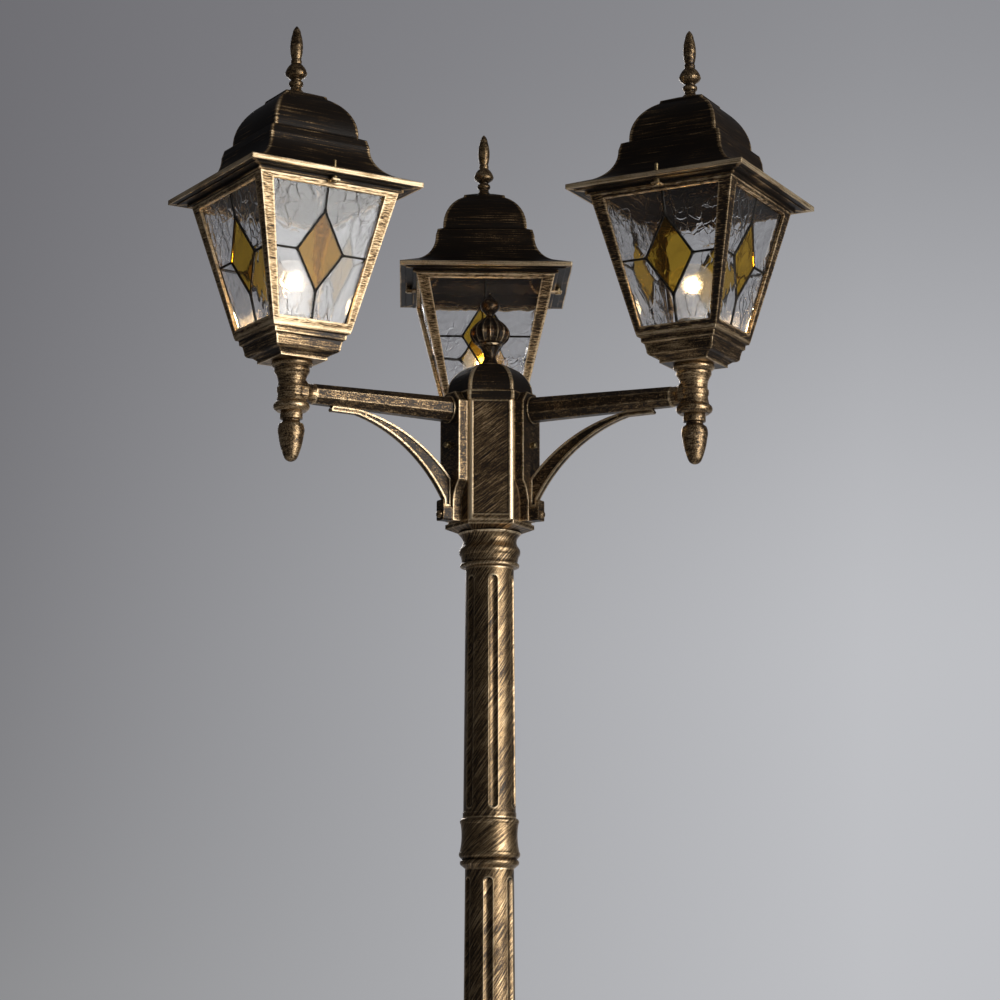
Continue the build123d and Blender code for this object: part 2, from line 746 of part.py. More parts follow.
# ---------------------------------------------------------------- stem
STEM_Z = STEM_TOP_Z - STEM_H
STEM_SHAPE = [
    (0.72, 0.0),
    (0.86, 0.045),
    (0.9, 0.1, 0.86, 0.155),
    (0.745, 0.2),
    (0.69, 0.31),
    (0.69, 0.37),
    (0.73, 0.39),
    (0.73, 0.48),
    (0.68, 0.505),
    (0.71, 0.67, 0.86, 0.79),
    (0.875, 0.81),
    (0.875, 0.845),
    (0.84, 0.865),
    (0.93, 0.9),
    (1.02, 0.945, 0.93, 1.0),
]
stem_body = turned(scaled(STEM_SHAPE, STEM_H, STEM_R), bore=WIRE_BORE_R, x=ARM_REACH, z=STEM_Z)
with BuildPart() as arm_boss:
    boss_z = ARM_UNDERSIDE_Z + ARM_END_H / 2
    with BuildSketch(upright(origin=(0, 0, boss_z))):
        with BuildLine():
            Polyline((ARM_REACH, BOSS_R), (ARM_REACH, 0), (ARM_END_X, 0), (ARM_END_X, ARM_END_H * 0.52))
            ThreePointArc(
                (ARM_END_X, ARM_END_H * 0.52),
                (ARM_END_X + BOSS_L * 0.3, ARM_END_H * 0.55),
                (ARM_REACH - STEM_R * 0.6, BOSS_R),
            )
            Line((ARM_REACH - STEM_R * 0.6, BOSS_R), (ARM_REACH, BOSS_R))
        make_face()
    revolve(axis=Axis((0, 0, boss_z), (1, 0, 0)))
with BuildPart() as stem:
    add(stem_body)
    add(arm_boss.part)
    with BuildSketch(Plane.XY.offset(STEM_Z)):
        with Locations((ARM_REACH, 0)):
            Circle(WIRE_BORE_R)
    extrude(amount=STEM_H, mode=Mode.SUBTRACT)
    with BuildSketch(facing(ARM_END_X)):
        Circle(WIRE_BORE_R)
    extrude(amount=BOSS_L, mode=Mode.SUBTRACT)
save_on_arms(stem.part, "stem")

# ---------------------------------------------------------------- drop finial below the stem
DROP_SHAPE = [
    (0.05, 0.0),
    (0.33, 0.028, 0.52, 0.09),
    (0.81, 0.31, 0.96, 0.52),
    (1.01, 0.66, 0.92, 0.745),
    (0.72, 0.785),
    (0.67, 0.805),
    (0.67, 0.83),
    (0.86, 0.85),
    (0.86, 0.95),
    (0.8, 1.0),
]
drop_body = turned(scaled(DROP_SHAPE, DROP_H, DROP_R), x=ARM_REACH, z=STEM_Z - DROP_H)
with BuildPart() as drop_finial:
    add(drop_body)
    with BuildSketch(Plane.XY.offset(STEM_Z)):
        with Locations((ARM_REACH, 0)):
            Circle(WIRE_BORE_R - SPIGOT_CLEARANCE)
    extrude(amount=STEM_H * 0.2)
save_on_arms(drop_finial.part, "drop_finial")

# ---------------------------------------------------------------- tray
TRAY_SHAPE = [
    (0.595, 0.0),
    (0.595, 0.1),
    (0.69, 0.225),
    (0.8, 0.3, 0.815, 0.41),
    (0.85, 0.64),
    (0.905, 0.7),
    (0.915, 0.86),
    (0.975, 0.89),
    (1.0, 1.0),
]
tray_outer = faceted(scaled(TRAY_SHAPE, TRAY_H, CAGE_FOOT_HALF), SQUARE, ARM_REACH, TRAY_Z)
tray_hollow = faceted(
    [
        (CAGE_FOOT_HALF * 0.8 - TRAY_WALL, TRAY_FLOOR_T),
        (CAGE_FOOT_HALF * 0.85 - TRAY_WALL, TRAY_H * 0.64),
        (CAGE_FOOT_HALF * 0.91 - TRAY_WALL, TRAY_H),
    ],
    SQUARE,
    ARM_REACH,
    TRAY_Z,
)
with BuildPart() as tray:
    add(tray_outer)
    add(tray_hollow, mode=Mode.SUBTRACT)
    with BuildSketch(Plane.XY.offset(TRAY_Z)):
        with Locations((ARM_REACH, 0)):
            Circle(WIRE_BORE_R)
    extrude(amount=TRAY_FLOOR_T, mode=Mode.SUBTRACT)
save_on_arms(tray.part, "tray")


# ---------------------------------------------------------------- cage
def cage_half(rise):
    """Half width of the cage's outer faces at a height above its foot."""
    return CAGE_FOOT_HALF + (CAGE_TOP_HALF - CAGE_FOOT_HALF) * rise / CAGE_H


WALL_ACROSS = CAGE_WALL / cos(CAGE_SLOPE)
WINDOW_TOP = CAGE_H - RAIL_TOP_H
window_outline = [
    (cage_half(RAIL_FOOT_H) - POST_FOOT_W, RAIL_FOOT_H),
    (cage_half(WINDOW_TOP) - POST_TOP_W, WINDOW_TOP),
]
cage_outer = faceted([(CAGE_FOOT_HALF, 0), (CAGE_TOP_HALF, CAGE_H)], SQUARE, ARM_REACH, CAGE_Z)
cage_inner = faceted(
    [(cage_half(CAGE_LIP_H) - WALL_ACROSS, CAGE_LIP_H), (CAGE_TOP_HALF - WALL_ACROSS, CAGE_H)],
    SQUARE,
    ARM_REACH,
    CAGE_Z,
)
with BuildPart() as cage:
    add(cage_outer)
    add(cage_inner, mode=Mode.SUBTRACT)
    for turn in SQUARE:
        with BuildSketch(upright(turn, (ARM_REACH, 0, CAGE_Z))):
            with BuildLine():
                mirrored(window_outline)
            make_face()
        extrude(amount=2 * CAGE_TOP_HALF, both=True, mode=Mode.SUBTRACT)
    with BuildSketch(Plane.XY.offset(CAGE_Z)):
        with Locations((ARM_REACH, 0)):
            Rectangle(2 * CAGE_LIP_HALF, 2 * CAGE_LIP_HALF)
    extrude(amount=CAGE_LIP_H, mode=Mode.SUBTRACT)
    lug_length = LUG_REACH - CAGE_TOP_HALF + WALL_ACROSS / 2
    with BuildSketch(Plane.XY.offset(ROOF_Z - LUG_T)):
        for side in (1, -1):
            with Locations((ARM_REACH, side * (LUG_REACH - lug_length / 2))):
                Rectangle(LUG_W, lug_length)
    extrude(amount=LUG_T)
    with BuildSketch(Plane.XY.offset(ROOF_Z - LUG_T)):
        with Locations((ARM_REACH, ROOF_SCREW_Y), (ARM_REACH, -ROOF_SCREW_Y)):
            Circle(ROOF_SCREW_R + SCREW_CLEARANCE)
    extrude(amount=LUG_T, mode=Mode.SUBTRACT)
save_on_arms(cage.part, "cage")

# ---------------------------------------------------------------- leaded glass
PANE_INSET = CAGE_WALL + GLASS_FIT + CAME_FLANGE_T + GLASS_T / 2
PANE_FOOT = (CAGE_LIP_H + GLASS_FIT) / cos(CAGE_SLOPE) + GLASS_T * sin(CAGE_SLOPE)
PANE_TOP = (CAGE_H - GLASS_FIT) / cos(CAGE_SLOPE) - GLASS_T


def pane_plane(turn):
    """Plane in the middle of a face's glass: x across the face, y up its slope from the cage's foot."""
    azimuth = radians(turn)
    across = Vector(-sin(azimuth), cos(azimuth), 0)
    outward = Vector(
        cos(azimuth) * cos(CAGE_SLOPE), sin(azimuth) * cos(CAGE_SLOPE), -sin(CAGE_SLOPE)
    )
    foot = Vector(
        ARM_REACH + CAGE_FOOT_HALF * cos(azimuth), CAGE_FOOT_HALF * sin(azimuth), CAGE_Z
    )
    return Plane(origin=foot - outward * PANE_INSET, x_dir=across, z_dir=outward)


def pane_half(climb):
    """Half width of the pane at a distance up its slope."""
    inset = PANE_INSET + GLASS_T / 2 + CAME_FLANGE_T + PANE_SIDE_MARGIN
    return cage_half(climb * cos(CAGE_SLOPE)) - inset


DIAMOND = [
    (0, DIAMOND_TOP),
    (DIAMOND_HALF_W, DIAMOND_MID),
    (0, DIAMOND_FOOT),
    (-DIAMOND_HALF_W, DIAMOND_MID),
]
EDGE_ENDS = [
    (0, PANE_TOP),
    (pane_half(DIAMOND_MID), DIAMOND_MID),
    (0, PANE_FOOT),
    (-pane_half(DIAMOND_MID), DIAMOND_MID),
]
CAME_LINES = list(zip(DIAMOND, DIAMOND[1:] + DIAMOND[:1])) + list(zip(DIAMOND, EDGE_ENDS))


def pane_outline(mode=Mode.ADD):
    """Whole pane of one face."""
    foot, top = pane_half(PANE_FOOT), pane_half(PANE_TOP)
    corners = [(-foot, PANE_FOOT), (foot, PANE_FOOT), (top, PANE_TOP), (-top, PANE_TOP)]
    Polygon(*corners, align=None, mode=mode)


def came_strips(width, mode=Mode.ADD):
    """Strips of one width along every lead line."""
    for start, end in CAME_LINES:
        run = Vector(*end) - Vector(*start)
        middle = (Vector(*start) + Vector(*end)) * 0.5
        with Locations((middle.X, middle.Y)):
            Rectangle(run.length + width, width, rotation=degrees(atan2(run.Y, run.X)), mode=mode)


FACE_TURNS = (0.0, 90.0, 180.0, 270.0)
with BuildPart() as glass_clear:
    for turn in FACE_TURNS:
        with BuildSketch(pane_plane(turn)):
            pane_outline()
            Polygon(*DIAMOND, align=None, mode=Mode.SUBTRACT)
            came_strips(CAME_CORE_W + GLASS_FIT, mode=Mode.SUBTRACT)
        extrude(amount=GLASS_T / 2, both=True)
save_on_arms(glass_clear.part, "glass_clear")

with BuildPart() as glass_amber:
    for turn in FACE_TURNS:
        with BuildSketch(pane_plane(turn)):
            Polygon(*DIAMOND, align=None)
            came_strips(CAME_CORE_W + GLASS_FIT, mode=Mode.SUBTRACT)
        extrude(amount=GLASS_T / 2, both=True)
save_on_arms(glass_amber.part, "glass_amber")

with BuildPart() as came:
    for turn in FACE_TURNS:
        middle = pane_plane(turn)
        with BuildSketch(middle):
            came_strips(CAME_CORE_W)
            pane_outline(mode=Mode.INTERSECT)
        extrude(amount=GLASS_T / 2, both=True)
        for side in (1, -1):
            with BuildSketch(middle.offset(side * GLASS_T / 2)):
                came_strips(CAME_W)
                pane_outline(mode=Mode.INTERSECT)
            extrude(amount=side * CAME_FLANGE_T)
save_on_arms(came.part, "came")

# ---------------------------------------------------------------- lampholder and bulb
holder = turned(
    [
        (HOLDER_FLANGE_R, 0),
        (HOLDER_FLANGE_R, HOLDER_FLANGE_T),
        (HOLDER_R, HOLDER_FLANGE_T),
        (HOLDER_R, HOLDER_H * 0.55),
        (HOLDER_R * 0.95, HOLDER_H * 0.58),
        (HOLDER_R * 0.95, HOLDER_H),
    ],
    x=ARM_REACH,
    z=HOLDER_Z,
)
with BuildPart() as lampholder:
    add(holder)
    with BuildSketch(Plane.XY.offset(BULB_CAP_Z)):
        with Locations((ARM_REACH, 0)):
            Circle(BULB_CAP_R + BULB_CAP_CLEARANCE)
    extrude(amount=HOLDER_H, mode=Mode.SUBTRACT)
    with BuildSketch(Plane.XY.offset(HOLDER_Z)):
        with Locations((ARM_REACH, 0)):
            Circle(WIRE_BORE_R)
    extrude(amount=HOLDER_H, mode=Mode.SUBTRACT)
save_on_arms(lampholder.part, "lampholder")

bulb_cap = turned(
    [
        (BULB_CAP_R * 0.35, 0),
        (BULB_CAP_R * 0.45, BULB_CAP_H * 0.06),
        (BULB_CAP_R, BULB_CAP_H * 0.2),
        (BULB_CAP_R, BULB_CAP_H * 0.9),
        (BULB_CAP_R * 0.95, BULB_CAP_H),
    ],
    x=ARM_REACH,
    z=BULB_CAP_Z,
)


def bulb_profile(wall):
    """Outline of the bulb's envelope, or of the space inside its wall."""
    foot_r = BULB_CAP_R * 0.92 - wall
    globe_z = BULB_H - BULB_R
    radius = BULB_R - wall
    neck = Vector(foot_r, wall)
    shoulder = Vector(radius * cos(radians(-32)), globe_z + radius * sin(radians(-32)))
    return [
        (neck.X, neck.Y),
        (shoulder.X, shoulder.Y),
        (radius * cos(radians(25)), globe_z + radius * sin(radians(25)), 0, globe_z + radius),
    ]


envelope = turned(bulb_profile(0.0), x=ARM_REACH, z=BULB_Z)
envelope_space = turned(bulb_profile(BULB_WALL), x=ARM_REACH, z=BULB_Z)
with BuildPart() as bulb:
    add(envelope)
    add(envelope_space, mode=Mode.SUBTRACT)
save_on_arms(bulb.part, "bulb")

# ---------------------------------------------------------------- roof
flare_chord = ((FLARE_FOOT_HALF, FLARE_FOOT_RISE), (FLARE_TOP_HALF, FLARE_TOP_RISE))
dome_chord = ((DOME_HALF, DOME_FOOT_RISE), (DOME_TOP_HALF, DOME_TOP_RISE))


def bowed(start, end, bow):
    """Point beside the middle of a chord, toward its right when it runs from start to end."""
    chord = Vector(*end) - Vector(*start)
    side = Vector(chord.Y, -chord.X).normalized() * bow
    middle = (Vector(*start) + Vector(*end)) * 0.5 + side
    return (middle.X, middle.Y)


roof_profile = [
    (SOFFIT_SEAT_HALF, 0),
    (SOFFIT_SEAT_HALF, SOFFIT_STEP_RISE),
    (SOFFIT_SEAT_HALF + SOFFIT_STEP_W, SOFFIT_STEP_RISE),
    (SOFFIT_SEAT_HALF + SOFFIT_STEP_W, SOFFIT_RISE),
    (EAVE_HALF, SOFFIT_RISE),
    (EAVE_HALF, SOFFIT_RISE + FASCIA_H),
    flare_chord[0],
    (*bowed(*flare_chord, -FLARE_BOW), *flare_chord[1]),
    (STEP_HALF, STEP_RISE),
    (DOME_HALF, DOME_FOOT_RISE),
    (*bowed(*dome_chord, DOME_BOW), *dome_chord[1]),
    (PLINTH_HALF, PLINTH_RISE),
    (ROOF_PEAK_HALF, ROOF_PEAK_RISE),
]
roof_hollow_profile = [
    (ROOF_SEAT_HALF, 0),
    (ROOF_SEAT_HALF - ROOF_WALL, FLARE_FOOT_RISE - ROOF_WALL),
    (FLARE_TOP_HALF + ROOF_WALL / 2, FLARE_FOOT_RISE + ROOF_WALL * 2),
    (STEP_HALF - ROOF_WALL * 1.6, STEP_RISE - ROOF_WALL * 2),
    (DOME_HALF - ROOF_WALL * 1.2, DOME_FOOT_RISE - ROOF_WALL),
    (
        *bowed(dome_chord[0], dome_chord[1], DOME_BOW - ROOF_WALL * 1.2),
        DOME_TOP_HALF - ROOF_WALL * 1.5,
        DOME_TOP_RISE - ROOF_WALL,
    ),
]
roof_outer = faceted(roof_profile, SQUARE, ARM_REACH, ROOF_Z)
roof_inner = faceted(roof_hollow_profile, SQUARE, ARM_REACH, ROOF_Z)
with BuildPart() as roof:
    add(roof_outer)
    add(roof_inner, mode=Mode.SUBTRACT)
    with BuildSketch(Plane.XY.offset(ROOF_Z)):
        with Locations((ARM_REACH, ROOF_SCREW_Y), (ARM_REACH, -ROOF_SCREW_Y)):
            Circle(ROOF_SCREW_HOLE_R)
    extrude(amount=FLARE_FOOT_RISE, mode=Mode.SUBTRACT)
save_on_arms(roof.part, "roof")

# ---------------------------------------------------------------- roof finial
ROOF_FINIAL_SHAPE = [
    (0.84, 0.0),
    (0.52, 0.06),
    (0.478, 0.1),
    (0.6, 0.118),
    (0.66, 0.148, 0.6, 0.178),
    (0.458, 0.191),
    (0.467, 0.212),
    (0.888, 0.263),
    (1.0, 0.298),
    (0.963, 0.32),
    (0.78, 0.383, 0.458, 0.44),
    (0.486, 0.463),
    (0.486, 0.492),
    (0.42, 0.506),
    (0.58, 0.67, 0.4, 0.88),
    (0.22, 0.965, 0.04, 1.0),
]
save_on_arms(
    turned(
        scaled(ROOF_FINIAL_SHAPE, ROOF_FINIAL_H, ROOF_FINIAL_R),
        x=ARM_REACH,
        z=ROOF_Z + ROOF_PEAK_RISE,
    ),
    "roof_finial",
)

# ---------------------------------------------------------------- roof screws
roof_screw = turned(
    [
        (ROOF_NUT_R, -LUG_T - ROOF_HEAD_H),
        (ROOF_NUT_R, -LUG_T),
        (ROOF_SCREW_R, -LUG_T),
        (ROOF_SCREW_R, 0),
        (ROOF_NUT_R, 0),
        (ROOF_NUT_R, SOFFIT_STEP_RISE - ROOF_NUT_GAP),
        (ROOF_SCREW_R, SOFFIT_STEP_RISE - ROOF_NUT_GAP),
        (ROOF_SCREW_R, ROOF_SCREW_TIP - ROOF_SCREW_R / 2),
        (ROOF_SCREW_R * 0.6, ROOF_SCREW_TIP),
    ],
    x=ARM_REACH,
    z=ROOF_Z,
)


def group(pieces, label):
    """Writes loose fasteners of one kind, for all arms, as one group."""
    with BuildPart() as fasteners:
        for plane in ARM_PLANES.values():
            for piece in pieces:
                add(piece.moved(plane.location))
    save(fasteners.part, label)


screw_pair = [roof_screw.moved(Location((0, side * ROOF_SCREW_Y, 0))) for side in (1, -1)]
group(screw_pair, "roof_screws")
group([arm_screw], "arm_screws")
group([clip_screw], "clip_screws")
group([clip.part], "brace_clips")
group([bulb_cap], "bulb_caps")
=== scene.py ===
from math import atan2, cos, pi, radians, sin

import bmesh
import bpy
from mathutils import Matrix, Vector


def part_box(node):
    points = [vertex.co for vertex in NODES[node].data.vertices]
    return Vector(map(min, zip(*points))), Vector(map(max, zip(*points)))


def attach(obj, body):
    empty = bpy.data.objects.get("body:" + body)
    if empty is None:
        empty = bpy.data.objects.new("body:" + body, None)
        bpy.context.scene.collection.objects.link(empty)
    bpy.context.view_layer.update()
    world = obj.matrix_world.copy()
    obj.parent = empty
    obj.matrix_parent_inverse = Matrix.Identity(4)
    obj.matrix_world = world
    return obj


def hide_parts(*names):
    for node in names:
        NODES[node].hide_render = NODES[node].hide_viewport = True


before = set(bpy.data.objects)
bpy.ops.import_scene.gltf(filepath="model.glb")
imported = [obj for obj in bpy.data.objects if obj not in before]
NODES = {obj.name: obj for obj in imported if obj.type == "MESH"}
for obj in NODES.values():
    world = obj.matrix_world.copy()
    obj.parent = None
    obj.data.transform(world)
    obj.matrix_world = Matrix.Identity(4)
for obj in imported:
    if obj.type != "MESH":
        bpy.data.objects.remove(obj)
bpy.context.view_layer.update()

ARMS = {"left": 210.0, "right": 330.0, "rear": 90.0}
ARM_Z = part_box("hub_body")[1].z - 0.010
ARM_REACH = 0.219


def lantern_axis(azimuth, z):
    """The point at height z on the axis of the lantern whose arm points to an azimuth."""
    a = radians(azimuth)
    return Vector((ARM_REACH * cos(a), ARM_REACH * sin(a), z))


# ---------------------------------------------------------------- node helpers
def new_material(name):
    mat = bpy.data.materials.new(name)
    mat.use_nodes = True
    mat.node_tree.nodes.clear()
    return mat, Graph(mat.node_tree)


class Graph:
    """Short ways to add nodes to one tree."""

    def __init__(self, tree):
        self.tree = tree

    def node(self, kind, **values):
        n = self.tree.nodes.new(kind)
        for key, value in values.items():
            setattr(n, key, value)
        return n

    def put(self, target, value):
        """Links a socket, or sets a plain value."""
        if isinstance(value, bpy.types.NodeSocket):
            self.tree.links.new(value, target)
        else:
            target.default_value = value

    def coords(self, *scale):
        """Object coordinates, scaled by one number or by three."""
        m = self.node("ShaderNodeMapping")
        self.put(m.inputs["Vector"], self.node("ShaderNodeTexCoord").outputs["Object"])
        m.inputs["Scale"].default_value = scale * 3 if len(scale) == 1 else scale
        return m.outputs["Vector"]

    def noise(self, vector, detail=3.0, roughness=0.55, distortion=0.0):
        n = self.node("ShaderNodeTexNoise")
        self.put(n.inputs["Vector"], vector)
        n.inputs["Scale"].default_value = 1.0
        n.inputs["Detail"].default_value = detail
        n.inputs["Roughness"].default_value = roughness
        n.inputs["Distortion"].default_value = distortion
        return n.outputs["Fac"]

    def cells(self, vector, feature):
        n = self.node("ShaderNodeTexVoronoi", feature=feature)
        self.put(n.inputs["Vector"], vector)
        n.inputs["Scale"].default_value = 1.0
        return n.outputs["Distance"]

    def math(self, operation, a, b=None, clamp=False):
        n = self.node("ShaderNodeMath", operation=operation, use_clamp=clamp)
        self.put(n.inputs[0], a)
        if b is not None:
            self.put(n.inputs[1], b)
        return n.outputs[0]

    def apart(self, a, b):
        """How far two values lie from each other."""
        return self.math("ABSOLUTE", self.math("SUBTRACT", a, b))

    def remap(self, value, low, high, to_low=0.0, to_high=1.0, smooth=True):
        n = self.node("ShaderNodeMapRange", interpolation_type="SMOOTHSTEP" if smooth else "LINEAR")
        self.put(n.inputs["Value"], value)
        n.inputs["From Min"].default_value = low
        n.inputs["From Max"].default_value = high
        n.inputs["To Min"].default_value = to_low
        n.inputs["To Max"].default_value = to_high
        return n.outputs["Result"]

    def mix(self, factor, a, b):
        """Mixes two colours, a at 0 and b at 1. The node's sockets share names, so they go by number."""
        n = self.node("ShaderNodeMix", data_type="RGBA")
        self.put(n.inputs[0], factor)
        self.put(n.inputs[6], a if isinstance(a, bpy.types.NodeSocket) else (*a, 1.0))
        self.put(n.inputs[7], b if isinstance(b, bpy.types.NodeSocket) else (*b, 1.0))
        return n.outputs[2]

    def split(self, vector=None):
        """The x, y and z of a vector, or of the object coordinates."""
        if vector is None:
            vector = self.node("ShaderNodeTexCoord").outputs["Object"]
        n = self.node("ShaderNodeSeparateXYZ")
        self.put(n.inputs[0], vector)
        return n.outputs

    def join(self, x, y, z=0.0):
        n = self.node("ShaderNodeCombineXYZ")
        for target, value in zip(n.inputs, (x, y, z)):
            self.put(target, value)
        return n.outputs[0]

    def beside(self, x, y, azimuth):
        """Distance from a vertical plane through the origin at an azimuth."""
        a = radians(azimuth)
        return self.apart(self.math("MULTIPLY", x, sin(a)), self.math("MULTIPLY", y, cos(a)))

    def round_the_pole(self, radius, rise, across, along):
        """Coordinates for strokes that climb round the pole's axis at an angle: dense across, long along."""
        x, y, z = self.split()
        arc = self.math("MULTIPLY", self.math("ARCTAN2", y, x), radius)
        a = radians(rise)
        over = self.math("SUBTRACT", self.math("MULTIPLY", z, cos(a)), self.math("MULTIPLY", arc, sin(a)))
        ahead = self.math("ADD", self.math("MULTIPLY", z, sin(a)), self.math("MULTIPLY", arc, cos(a)))
        return self.join(self.math("MULTIPLY", over, across), self.math("MULTIPLY", ahead, along))

    def shut_in(self, distance, samples, inside=False):
        n = self.node("ShaderNodeAmbientOcclusion", inside=inside, only_local=True, samples=samples)
        n.inputs["Distance"].default_value = distance
        return self.math("SUBTRACT", 1.0, n.outputs["AO"])

    def convex(self, distance):
        """Near 1 at outer edges and on thin ribs, 0 on flats and in hollows."""
        return self.shut_in(distance, samples=6, inside=True)

    def hollow(self, distance):
        """Near 1 in grooves and corners, 0 in the open."""
        return self.shut_in(distance, samples=4)

    def round_edges(self, radius):
        n = self.node("ShaderNodeBevel", samples=4)
        n.inputs["Radius"].default_value = radius
        return n.outputs["Normal"]

    def bump(self, height, strength, distance, normal=None):
        n = self.node("ShaderNodeBump")
        n.inputs["Strength"].default_value = strength
        n.inputs["Distance"].default_value = distance
        self.put(n.inputs["Height"], height)
        if normal is not None:
            self.put(n.inputs["Normal"], normal)
        return n.outputs["Normal"]

    def principled(self, **sockets):
        """Sockets by name, with underscores for spaces."""
        n = self.node("ShaderNodeBsdfPrincipled")
        for key, value in sockets.items():
            self.put(n.inputs[key.replace("_", " ")], value)
        return n.outputs["BSDF"]

    def plain(self, kind, color):
        """A diffuse or transparent shader in one colour."""
        n = self.node(kind)
        self.put(n.inputs["Color"], color)
        return n.outputs[0]

    def blend(self, factor, a, b):
        """Mixes two shaders, a at 0 and b at 1."""
        n = self.node("ShaderNodeMixShader")
        for target, value in zip(n.inputs, (factor, a, b)):
            self.put(target, value)
        return n.outputs[0]

    def surface(self, shader):
        out = self.node("ShaderNodeOutputMaterial")
        self.put(out.inputs["Surface"], shader)


# ---------------------------------------------------------------- antique bronze
DARK = (0.0100, 0.0064, 0.0040)
BROWN = (0.082, 0.049, 0.025)
GOLD = (0.50, 0.342, 0.182)
BRIGHT = (0.94, 0.76, 0.51)

SPECKS_PER_M = 1150
PATCHES_PER_M = 23
HOLLOW_REACH = 0.005
# How much gold the edges add, and how much hollows take away.
EDGE_SHARE = 0.30
HOLLOW_SHARE = 0.14
# The wear at which the gold starts, at no cover, and how far full cover lowers it.
BARE_LEVEL = 0.635
COVER_SHARE = 0.30
# Where each tone begins and is full, measured from that level.
WORN = (-0.05, 0.06)
GILT = (0.02, 0.14)
SHINY = (0.12, 0.27)


def bronze(
    name, strokes, cover, grain, edges, reach=0.0022, soft=0.0008, ribs=None, rough=0.33, gloss=0.28, patches=0.25,
):
    """Near-black brown paint with gold brushed over it, most on the outer edges.

    strokes takes the graph and returns the streaks' coordinates, or is their scale along x, y and z. cover is
    the gold's share, grain how much of it is fine specks, edges how much more lies on outer edges within
    reach, soft the radius to which edges are rounded, ribs a function for places that are gold all over, rough
    the roughness, gloss the paint's specular level and patches how much the wear varies from place to place.
    """
    mat, g = new_material(name)
    at = strokes(g) if callable(strokes) else g.coords(*strokes)
    streak = g.noise(at, detail=3.0, roughness=0.6)
    speck = g.noise(g.coords(SPECKS_PER_M), detail=1.5, roughness=0.55)
    patch = g.noise(g.coords(PATCHES_PER_M), detail=2.0)
    edge = g.math("MULTIPLY", g.remap(g.convex(reach), 0.06, 0.30), edges)
    if ribs is not None:
        edge = g.math("MAXIMUM", edge, ribs(g))
    brush = g.math("ADD", g.math("MULTIPLY", streak, 1.0 - grain), g.math("MULTIPLY", speck, grain))
    brush = g.math("ADD", brush, g.math("MULTIPLY", patch, patches))
    brush = g.math("ADD", brush, g.math("MULTIPLY", edge, EDGE_SHARE))
    brush = g.math("SUBTRACT", brush, g.math("MULTIPLY", g.hollow(HOLLOW_REACH), HOLLOW_SHARE))
    level = BARE_LEVEL + 0.5 * patches - COVER_SHARE * cover
    worn, gilt, shiny = (g.remap(brush, level + low, level + high) for low, high in (WORN, GILT, SHINY))
    g.surface(
        g.principled(
            Base_Color=g.mix(shiny, g.mix(gilt, g.mix(worn, DARK, BROWN), GOLD), BRIGHT),
            Metallic=g.remap(worn, 0.0, 1.0, 0.1, 0.92),
            Roughness=g.remap(speck, 0.3, 0.7, rough, rough + 0.13),
            Specular_IOR_Level=gloss,
            Normal=g.bump(brush, 0.6, 0.0004, g.round_edges(soft)),
        )
    )
    return mat


def climbing(radius, rise, across, along):
    """Strokes that climb round a turned piece."""
    return lambda g: g.round_the_pole(radius, rise, across, along)


def hexagon_ribs(half_width):
    """Gold on the six upright ribs of the hub and its cap."""

    def ribs(g):
        x, y, _ = g.split()
        near = g.beside(x, y, 0)
        for azimuth in (60, 120):
            near = g.math("MINIMUM", near, g.beside(x, y, azimuth))
        return g.remap(near, half_width * 0.75, half_width * 1.15, 1.0, 0.0)

    return ribs


CAP_BAND_FOOT = 0.005
CAP_BAND_H = 0.0092


def cap_ribs_and_band_highlight(g):
    """The cap's ribs, and a fainter line along the top of its band that is a painted highlight."""
    band_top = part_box("hub_cap")[0].z + CAP_BAND_FOOT + CAP_BAND_H
    # Painted highlight: a gold line along the band's top edge.
    line = g.remap(g.apart(g.split()[2], band_top), 0.0006, 0.0016, 0.8, 0.0)
    return g.math("MAXIMUM", line, hexagon_ribs(0.0024)(g))


def arm_frame(g, azimuth):
    """Distances from a lantern's axis: along its arm, and across it."""
    n = g.node("ShaderNodeMapping")
    g.put(n.inputs["Vector"], g.node("ShaderNodeTexCoord").outputs["Object"])
    n.inputs["Rotation"].default_value = (0, 0, -radians(azimuth))
    n.inputs["Location"].default_value = (-ARM_REACH, 0, 0)
    x, y, _ = g.split(n.outputs["Vector"])
    return g.math("ABSOLUTE", x), g.math("ABSOLUTE", y)


# How far from a ridge its painted highlight fades, and how far from the roof's axis the eave's gold starts and is
# full.
RIDGE_HIGHLIGHT_FADE = (0.0012, 0.0045)
EAVE_START = (0.0885, 0.0892)


def roof_ridge_highlights_and_eave(azimuth):
    """Gold at half strength along the roof's four ridges, a painted highlight, and full gold round its eave."""

    def ribs(g):
        along, across = arm_frame(g, azimuth)
        # Painted highlight: gold along the four ridges.
        ridge_highlight = g.remap(g.apart(along, across), *RIDGE_HIGHLIGHT_FADE, 0.62, 0.0)
        eave = g.remap(g.math("MAXIMUM", along, across), *EAVE_START, 0.0, 0.95)
        return g.math("MAXIMUM", ridge_highlight, eave)

    return ribs


bronze_roof = {
    arm: bronze(
        f"bronze_roof_{arm}", (22, 22, 900), cover=0.2, grain=0.25, edges=0.4, soft=0.002, ribs=roof_ridge_highlights_and_eave(azimuth),
        rough=0.4, gloss=0.22,
    )
    for arm, azimuth in ARMS.items()
}
